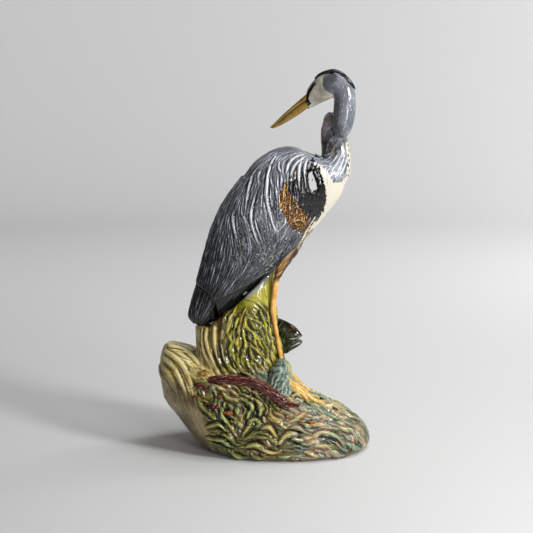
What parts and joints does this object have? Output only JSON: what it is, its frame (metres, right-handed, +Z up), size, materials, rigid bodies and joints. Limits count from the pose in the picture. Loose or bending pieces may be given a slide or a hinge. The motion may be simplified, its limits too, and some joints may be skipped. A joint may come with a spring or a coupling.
{
  "type": "ceramic heron figure",
  "caption": "Glazed earthenware heron figure: a tall wading bird standing against a stump on a moulded grassy base, its head turned back over its body.",
  "frame": {"origin": "middle of the plan of the figure, on the surface that it stands on", "axes": "+Z up; +X the way the breast faces and the base runs out; the bill points back towards -X; -Y is the side of the right wing"},
  "size_m": [0.5656, 0.33, 1],
  "materials": {
    "grey_glaze": "glossy blue-grey lead glaze with brushed strokes and pale ridges",
    "cream_glaze": "glossy cream glaze, brushed with grey and black",
    "black_glaze": "glossy manganese black glaze",
    "bill_glaze": "glossy ochre glaze with brown edges",
    "ochre_glaze": "glossy orange-ochre glaze, streaked brown",
    "grass_glaze": "thick glossy green, olive and teal glazes run together over moulded grass",
    "bark_glaze": "cream and honey glaze, thin over moulded grooves",
    "rock_glaze": "glossy blue-grey and teal glaze",
    "red_glaze": "glossy red-brown glaze",
    "pike_glaze": "glossy black-green glaze with a brown snout"
  },
  "bodies": {
    "root": {"eye_right": "black_glaze", "eye_left": "black_glaze", "crest": "black_glaze", "head": "cream_glaze", "bill_upper": "bill_glaze", "bill_lower": "bill_glaze", "neck_upper": "grey_glaze", "neck_middle": "grey_glaze", "neck_lower": "grey_glaze", "wing_right": "grey_glaze", "wing_left": "grey_glaze", "trunk": "cream_glaze", "thigh_right": "ochre_glaze", "thigh_left": "ochre_glaze", "tail": "grey_glaze", "mound": "grass_glaze", "root": "bark_glaze", "leg_right": "ochre_glaze", "leg_left": "ochre_glaze", "stump": "grass_glaze", "foot_right": "ochre_glaze", "foot_left": "ochre_glaze", "rock": "rock_glaze", "leaf_bud": "grass_glaze", "pike": "pike_glaze", "log": "red_glaze", "berry_1": "red_glaze", "berry_2": "red_glaze", "berry_3": "red_glaze"}
  },
  "joints": []
}
